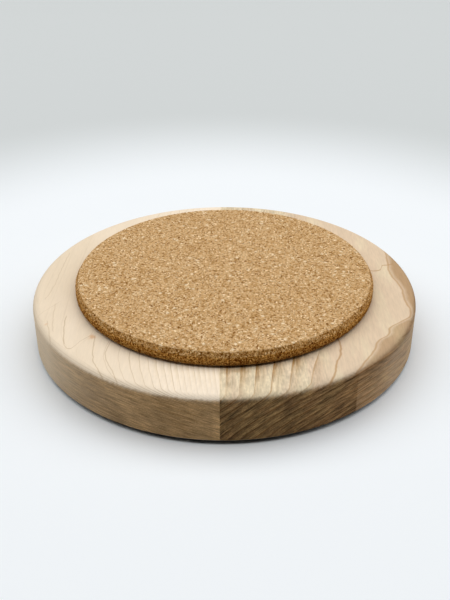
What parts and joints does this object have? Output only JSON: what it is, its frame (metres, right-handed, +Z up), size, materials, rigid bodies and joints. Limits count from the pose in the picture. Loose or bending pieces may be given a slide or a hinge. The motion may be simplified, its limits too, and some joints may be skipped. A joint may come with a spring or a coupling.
{
  "type": "trivet",
  "caption": "Round table trivet: a bevelled cork disc glued on a thick, round-edged base of edge-glued maple boards that stands on low rubber pads, for a hot pot or dish.",
  "frame": {"origin": "centre of the plane that the foot pads stand on, under the middle of the base", "axes": "+Z up through the base and the cork, +X towards the right board, +Y along the glue line and away from the viewer"},
  "size_m": [0.2286, 0.2286, 0.0386],
  "materials": {
    "cream_maple": "sanded and lightly oiled, cream flat-sawn maple with fine growth lines",
    "brown_maple": "sanded and lightly oiled, pinkish maple with brown heartwood streaks",
    "cork": "agglomerated cork of small granules, sanded, matt",
    "rubber": "black rubber, smooth and matt"
  },
  "bodies": {
    "root": {"left_board": "cream_maple", "right_board": "brown_maple", "cork_disc": "cork", "foot_pads": "rubber"}
  },
  "joints": []
}
